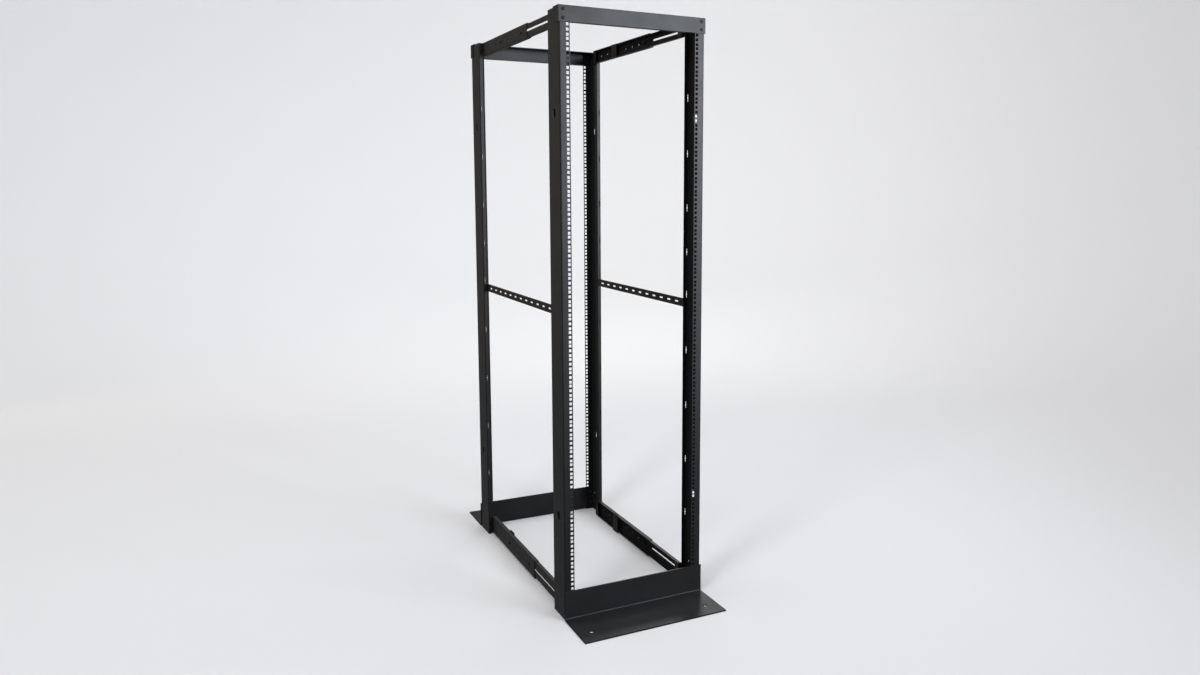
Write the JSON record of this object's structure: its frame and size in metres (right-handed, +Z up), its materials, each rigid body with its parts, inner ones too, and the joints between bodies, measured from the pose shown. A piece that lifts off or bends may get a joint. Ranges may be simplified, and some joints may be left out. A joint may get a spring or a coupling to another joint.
{
  "type": "server rack",
  "caption": "Open floor-standing frame of upright channels with square mounting holes, joined by caps, floor angles and side rails, for carrying rack equipment.",
  "frame": {"origin": "on the floor, at the middle of the rack's width and depth", "axes": "+Z up, +X to the right as the rack is seen from its front, +Y from the front to the rear"},
  "size_m": [0.526, 1.353, 2.0193],
  "materials": {
    "coated_steel": "satin black powder coat on bent sheet steel",
    "coated_plate": "satin black powder coat on bent steel plate",
    "bracket_steel": "black finish on small bent steel parts"
  },
  "bodies": {
    "root": {"front_left_post": "coated_steel", "front_right_post": "coated_steel", "front_top_cap": "coated_steel", "front_base_angle": "coated_plate", "rear_left_post": "coated_steel", "rear_right_post": "coated_steel", "rear_top_cap": "coated_steel", "rear_base_angle": "coated_plate", "left_top_outer_rail": "coated_steel", "left_top_inner_rail": "coated_steel", "left_top_rear_bracket": "bracket_steel", "left_top_front_bracket": "bracket_steel", "left_top_rail_guide": "bracket_steel", "left_bottom_outer_rail": "coated_steel", "left_bottom_inner_rail": "coated_steel", "left_bottom_rear_bracket": "bracket_steel", "left_bottom_front_bracket": "bracket_steel", "left_bottom_rail_guide": "bracket_steel", "left_side_brace": "bracket_steel", "right_top_outer_rail": "coated_steel", "right_top_inner_rail": "coated_steel", "right_top_rear_bracket": "bracket_steel", "right_top_front_bracket": "bracket_steel", "right_top_rail_guide": "bracket_steel", "right_bottom_outer_rail": "coated_steel", "right_bottom_inner_rail": "coated_steel", "right_bottom_rear_bracket": "bracket_steel", "right_bottom_front_bracket": "bracket_steel", "right_bottom_rail_guide": "bracket_steel", "right_side_brace": "bracket_steel"}
  },
  "joints": []
}
